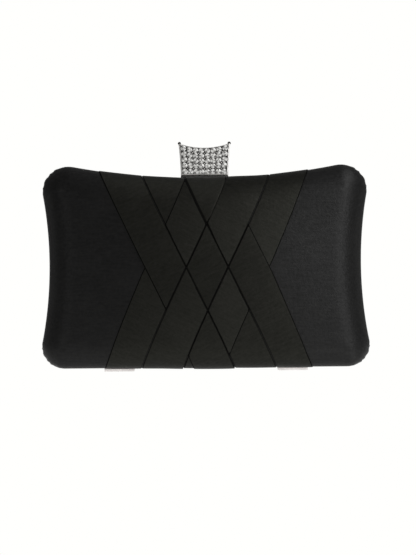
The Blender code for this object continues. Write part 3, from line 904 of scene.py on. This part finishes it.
def make_clasp_knuckles():
    web_y, web_half = (PLATE_Y[1] - 0.0002, PIVOT[0] - 0.00095), 0.0008
    for side, way in SIDES:
        low, high = sorted(way * end for end in KNUCKLE_SPAN)
        knuckle = loft(f"clasp_knuckle_{side}", knuckle_rings(low, high), False, 40)
        ridden(knuckle, "clasp", "clasp", "clasp")
        start, end = (low, web_y[0], PIVOT[1] - web_half), (high, web_y[1], PIVOT[1] + web_half)
        ridden(box(f"clasp_web_{side}", start, end), "clasp", "clasp", "clasp")


def make_clasp_foot():
    """A dark strip under the clasp plate that paints the shadow in the gap below it, and the hook
    that goes into the catch.
    """
    base = PLATE_BOTTOM
    gap_shade = box("clasp_gap_shade", (-0.0142, -0.0017, base - 0.00036), (0.0142, 0.0015, base + 0.0004))
    ridden(gap_shade, "ball", "clasp", "clasp")
    hook = box("clasp_hook", (-0.004, -0.0027, PLATE_LOW.z), (0.004, -0.0012, base + 0.0003))
    change = hook.modifiers.new("Soft edges", "BEVEL")
    change.width, change.segments = 0.0003, 3
    ridden(hook, "rim", "clasp", "clasp")


def make_spring():
    """The return spring: a close coil round the pivot pin."""
    turns, steps, wire = 7.5, 24, 0.00019
    radius = (SPRING_HIGH.z - SPRING_LOW.z) / 2 - wire
    curve = bpy.data.curves.new("clasp_return_spring", "CURVE")
    curve.dimensions = "3D"
    line = curve.splines.new("POLY")
    count = int(turns * steps)
    line.points.add(count)
    for i in range(count + 1):
        turn = 2 * pi * turns * i / count
        x = SPRING_LOW.x + wire + (SPRING_HIGH.x - SPRING_LOW.x - 2 * wire) * i / count
        y, z = PIVOT[0] + radius * cos(turn), PIVOT[1] + radius * sin(turn)
        line.points[i].co = (x, y, z, 1)
    curve.bevel_depth, curve.bevel_resolution, curve.use_fill_caps = wire, 3, True
    spring = new_item("clasp_return_spring", curve)
    ridden(spring, "steel", "back_half", "spring", "clasp_spring")


def make_horn_balls():
    for side, way in SIDES:
        place = (way * HORN[0], sum(PLATE_Y) / 2, HORN[1])
        ridden(balls(f"horn_ball_{side}", [place], HORN_BALL, 4), "ball", "clasp", "clasp")


def stone_place(column, row):
    """A stone's middle in X and Z and its row's height; the rows follow the hollow top."""
    rim = PLATE_RIM + 0.0001
    low = PLATE_BOTTOM + 0.0005
    u = (2 * column + 1) / STONE_COLUMNS - 1
    x = u * (plate_half(low) - rim)
    for _ in range(3):
        tall = (plate_top(x) - PLATE_TOP_RIM - low - LOW_ROW_GAP) / STONE_ROWS
        z = low + (row + 0.5) * tall + (LOW_ROW_GAP if row else 0.0)
        x = u * (plate_half(z) - rim)
    return x, z, tall


def gem():
    """A cut stone with its table towards -Y: points, and faces with 1 on the foiled back."""
    points, faces = [], []

    def ring(count, distance, y, shift=0.0):
        start = len(points)
        for i in range(count):
            turn = 2 * pi * (i + shift) / count
            points.append((distance * cos(turn), y, distance * sin(turn)))
        return start

    t = ring(8, 0.56 * STONE_RADIUS, -STONE_CROWN)
    m = ring(8, 0.80 * STONE_RADIUS, -STONE_CROWN * 0.58, 0.5)
    g = ring(16, STONE_RADIUS, -0.00004)
    b = ring(16, STONE_RADIUS, 0.00004)
    q = ring(8, 0.52 * STONE_RADIUS, STONE_DEPTH * 0.62, 0.5)
    c = len(points)
    points += [(0.0, STONE_DEPTH, 0.0), (0.0, -STONE_CROWN, 0.0)]
    for i in range(8):
        j = (i + 1) % 8
        g0, g1, g2 = g + 2 * i, g + 2 * i + 1, g + (2 * i + 2) % 16
        b0, b1, b2 = b + 2 * i, b + 2 * i + 1, b + (2 * i + 2) % 16
        shown = [(t + i, t + j, c + 1), (t + i, t + j, m + i), (t + j, m + i, g2, m + j)]
        shown += [(m + i, g0, g1), (m + i, g1, g2), (g0, g1, b1, b0), (g1, g2, b2, b1)]
        foiled = [(b0, b1, q + i), (b1, b2, q + i), (b2, q + i, c, q + j)]
        faces += [(face, 0) for face in shown] + [(face, 1) for face in foiled]
    return points, faces


def make_stones():
    """The cut stones, each turned and tilted a little, with painted glints and painted shade on
    their facets.
    """
    rng = random.Random(7)
    points, faces, painted_glint_shades = [], [], []
    gem_points, gem_faces = gem()
    for row in range(STONE_ROWS):
        for column in range(STONE_COLUMNS):
            x, z, tall = stone_place(column, row)
            turn = Matrix.Rotation(rng.uniform(0, pi / 4), 4, "Y")
            tilt = Matrix.Rotation(radians(rng.uniform(-4, 4)), 4, "X")
            tilt @= Matrix.Rotation(radians(rng.uniform(-4, 4)), 4, "Z")
            fit = Matrix.Diagonal((1, 1, min(1.0, tall / (2 * STONE_RADIUS)), 1))
            move = Matrix.Translation((x, GIRDLE_Y, z)) @ fit @ tilt @ turn
            start = len(points)
            points += [tuple(move @ Vector(p)) for p in gem_points]
            # Painted light: lobes of painted glint and painted shade run round each stone, and its
            # girdle facets are painted darker.
            lobes, phase = rng.choice((2, 3, 3)), rng.uniform(0, 2 * pi)
            for face, back in gem_faces:
                faces.append(tuple(start + v for v in face))
                center = sum((Vector(gem_points[v]) for v in face), Vector()) / len(face)
                wedge = cos(lobes * atan2(center.z, center.x) - phase)
                dim = 0.6 if face[0] >= GIRDLE_START else 1.0
                painted_glint = 0.58 + 0.5 * wedge + rng.uniform(-0.25, 0.25)
                painted_glint_shades.append((back, dim * min(1.0, max(0.0, painted_glint))))
    stones = piece_of("clasp_cut_stones", points, faces, 0)
    stones.data.shade_flat()
    ridden(stones, "stone foil", "clasp", "stones")
    values = stones.data.attributes.new("painted_glint", "FLOAT", "CORNER").data
    for polygon, (back, painted_glint) in zip(stones.data.polygons, painted_glint_shades):
        polygon.material_index = back
        for corner in polygon.loop_indices:
            values[corner].value = painted_glint


def make_setting():
    """The stones' bed in dark metal, a painted shade in the gaps between them, and a small bead of
    metal between each four of them.
    """
    places = []
    for row in range(1, STONE_ROWS):
        for column in range(1, STONE_COLUMNS):
            near = [stone_place(c, r) for c in (column - 1, column) for r in (row - 1, row)]
            x, z = (sum(place[k] for place in near) / 4 for k in (0, 1))
            places.append((x, GIRDLE_Y + 0.00005, z))
    ridden(balls("setting_beads", places, BEAD_RADIUS, 2), "clasp", "clasp", "clasp")
    low = PLATE_Y[0] + PLATE_RECESS
    loop = plate_loop(PLATE_RIM + 0.0002, PLATE_TOP_RIM + 0.0001)
    bed = loft("stone_bed_painted_shade", [at_depth(loop, y) for y in (low - 0.0004, low - 0.00005)])
    ridden(bed, "rim", "clasp", "stones", "clasp_stones")


# ---------------- inside


def folded(item, reach, z, **flat):
    """A folded cloth between the back half and the front half: gives it the gusset's material and
    bakes its transform.
    """
    paint(item, "gusset")
    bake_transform(item)


def make_gusset(side, way):
    """A pleated side gusset, folded flat between the halves at rest."""
    low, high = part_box(f"gusset_{side}")
    half, folds, steps, rows, thickness = 0.0066, 3, 12, 40, 0.00022
    count = folds * steps * 2

    def place(share, up):
        z = low.z + (high.z - low.z) * up
        outer = SIDE_CENTER[0] - sqrt((SIDE_RADIUS + 0.0046) ** 2 - (z - WAIST_Z) ** 2)
        depth = 0.0014 + 0.016 * up
        swing = 0.5 - 0.5 * cos(2 * pi * folds * share)
        sag = 0.0015 * up * sin(pi * share)
        return Vector((way * (outer - depth * swing**0.8), half * (1 - 2 * share), z - sag))

    rings = []
    for r in range(rows + 1):
        line = [place(i / count, r / rows) for i in range(count + 1)]
        sides = [], []
        for i, point in enumerate(line):
            along = (line[min(i + 1, count)] - line[max(i - 1, 0)]).normalized()
            offset = Vector((along.y, -along.x, 0.0)).normalized() * thickness / 2
            sides[0].append(tuple(point + offset))
            sides[1].append(tuple(point - offset))
        rings.append(sides[0] + sides[1][::-1])
    item = loft(f"gusset_cloth_{side}", rings, angle=70)
    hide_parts(f"gusset_{side}")
    folded(item, half, (low.z + high.z) / 2, flat=(0.118, 0.084), area=0.0059)


def make_hinge_cloth():
    """A strip of lining that closes the gap along the hinges and joins the two gussets."""
    inset, reach, slack, thickness = 0.0049, 0.0052, 0.0009, 0.0002
    columns, last = 16, CORNERS[0][1]

    def path(inset):
        half = outline(inset, STEPS)[: last + 1]
        return [(-x, z) for x, z in reversed(half[1:])] + half

    def length_of(line):
        return sum(map(dist, line, line[1:]))

    spots = [reach * (1 - 2 * i / columns) for i in range(columns + 1)]
    section = [(y, slack * cos(pi / 2 * y / reach) ** 2) for y in spots]
    sides = [
        [(y, path(inset + bulge + way * thickness / 2)) for y, bulge in section]
        for way in (-1, 1)
    ]
    around = sides[0] + sides[1][::-1]
    rings = [[(line[k][0], y, line[k][1]) for y, line in around] for k in range(2 * last + 1)]
    flat = (length_of(path(inset + slack / 2)), length_of(section))
    folded(loft("hinge_cloth", rings, angle=70), 0.0040, BASE_Z + inset, flat=flat)


def make_pocket():
    """A slip pocket on the back lining: a cloth panel with a turned top edge."""
    low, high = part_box("slip_pocket")
    columns, rows = 60, 30
    points, faces = [], []
    for face, y in ((0, low.y), (1, high.y)):
        for r in range(rows + 1):
            for c in range(columns + 1):
                u, v = c / columns, r / rows
                x = low.x + (high.x - low.x) * u
                z = low.z + (high.z - low.z) * v + 0.0012 * (1 - 4 * u * (1 - u)) * v
                belly = 0.0005 * sin(pi * u) * sin(pi * v * 0.5)
                hem = 0.00012 if v > 0.9 and face == 0 else 0.0
                points.append((x, y - hem - belly + 0.0001 * face, z))
    wide = columns + 1
    back = wide * (rows + 1)
    for r in range(rows):
        for a in range(r * wide, r * wide + columns):
            quad = (a, a + 1, a + wide + 1, a + wide)
            faces += [quad, tuple(back + v for v in reversed(quad))]
    rim = list(range(wide)) + [r * wide + columns for r in range(1, rows + 1)]
    rim += [rows * wide + c for c in range(columns - 1, -1, -1)]
    rim += [r * wide for r in range(rows - 1, 0, -1)]
    faces += [(a, b, back + b, back + a) for a, b in zip(rim, rim[1:] + rim[:1])]
    item = piece_of("pocket_cloth", points, faces, 50)
    ridden(item, "lining", "back_half", "lining", "slip_pocket")


# ---------------- floor, light and camera


FLOOR_HALF = 4.0
# Parts of the world's glow: axis, where along it the glow starts and is full, and its strength
WORLD_GLOW = [
    ("Y", 0.70, 0.90, 0.25),
    ("Y", 0.95, 0.985, 0.75),
    ("Z", 0.25, 0.95, 0.27),
    ("X", 0.35, 0.95, 0.30),
    ("X", -0.35, -0.95, 0.15),
]
# The softboxes: place, what they point at, size, and power in watts
SOFTBOXES = {
    "right softbox": ((0.20, -0.34, 0.20), (0.05, 0, 0.06), (0.18, 0.34), 0.73),
    "left softbox": ((-0.35, -0.66, 0.14), (-0.08, 0, 0.06), (0.14, 0.50), 0.37),
    "top softbox": ((0.34, -0.22, 0.52), (0.07, 0, 0.10), (0.30, 0.30), 0.75),
}
LENS, SENSOR = 135.0, 36.0
VIEW_HEIGHT = 0.3405  # what the longer side of the picture spans at the bag


def make_floor():
    """A white floor with a faint reflection, which the camera sees only just before the bag."""
    n = material("floor_white")
    split = n.node("SeparateXYZ", Vector=n.coordinates()).outputs
    beside, away = (n.math("ABSOLUTE", split[axis]) for axis in "XY")
    by_camera = n.add("LightPath", "Is Camera Ray")
    power = n.add("Mix", Factor=by_camera, A=n.spread(away, 0.03, 0.17, 1.15, 0.2), B=1.0)
    glow = n.add("Emission", Color=(1.0, 1.0, 0.985, 1), Strength=power)
    gloss = n.add("BsdfGlossy", Color=(1.0, 1.0, 0.99, 1), Roughness=0.12)
    surface = n.mixed(n.spread(away, 0.27, 0.52, 0.435, 0.0), glow, gloss)
    from_above = n.add("LayerWeight", "Facing", Blend=0.5)
    from_side = n.add("LayerWeight", "Facing", Blend=0.5, Normal=(0.0, 1.0, 0.0))
    shown = n.spread(from_above, 0.80, 0.86, 0.0, 1.0)
    limits = ((beside, 0.105, 0.125), (split["Y"], -0.05, -0.03), (from_side, 0.03, 0.10))
    for value, start, end in limits:
        shown = n.math("MULTIPLY", shown, n.spread(value, start, end, 1.0, 0.0))
    hidden = n.math("MULTIPLY", by_camera, n.math("SUBTRACT", 1.0, shown))
    clear = n.mixed(hidden, surface, n.add("BsdfTransparent"))
    n.link(clear, n.tree.nodes["Material Output"].inputs["Surface"])
    corners = [(x * FLOOR_HALF, y * FLOOR_HALF, 0) for x, y in ((-1, -1), (1, -1), (1, 1), (-1, 1))]
    floor = piece_of("floor", corners, [(0, 1, 2, 3)], 0)
    floor.data.materials.append(n.owner)


def make_world():
    """White far behind, soft from above and from the right, and dark towards the front."""
    world = bpy.data.worlds.new("studio")
    scene.world = world
    n = Nodes(world)
    split = n.node("SeparateXYZ", Vector=n.add("TexCoord", "Generated")).outputs
    parts = [n.spread(split[axis], *span, 0.0, power) for axis, *span, power in WORLD_GLOW]
    glow = n.tree.nodes["Background"]
    n.link((1.0, 1.0, 0.99, 1), glow.inputs["Color"])
    n.link(n.total(*parts), glow.inputs["Strength"])
    backdrop = n.add("Background", Color=(1.0, 1.0, 0.985, 1))
    by_camera = n.add("LightPath", "Is Camera Ray")
    shown = n.mixed(by_camera, glow.outputs["Background"], backdrop)
    n.link(shown, n.tree.nodes["World Output"].inputs["Surface"])


def make_light(name, place, target, size, power):
    data = bpy.data.lights.new(name, "AREA")
    data.shape, data.energy = "RECTANGLE", power
    data.size, data.size_y = size
    light = new_item(name, data)
    light.location = place
    away = Vector(place) - Vector(target)
    light.rotation_euler = away.to_track_quat("Z", "Y").to_euler()
    light.visible_camera = False


def make_camera():
    data = bpy.data.cameras.new("camera")
    data.lens, data.sensor_width = LENS, SENSOR
    data.clip_start, data.clip_end = 0.05, 20
    camera = new_item("camera", data)
    camera.location = (0.0016, -VIEW_HEIGHT * LENS / SENSOR, 0.0569)
    roll = Matrix.Rotation(radians(0.48), 4, "Y")
    camera.rotation_euler = (roll @ Matrix.Rotation(pi / 2, 4, "X")).to_euler()
    scene.camera = camera


make_camera()
make_halves()
make_plait()
make_hardware()
make_clasp_plate()
make_clasp_knuckles()
make_clasp_foot()
make_spring()
make_horn_balls()
make_stones()
make_setting()
for gusset_side, gusset_way in SIDES:
    make_gusset(gusset_side, gusset_way)
make_hinge_cloth()
make_pocket()
make_floor()
make_world()
for light_name, settings in SOFTBOXES.items():
    make_light(light_name, *settings)
scene.view_settings.view_transform = "Standard"
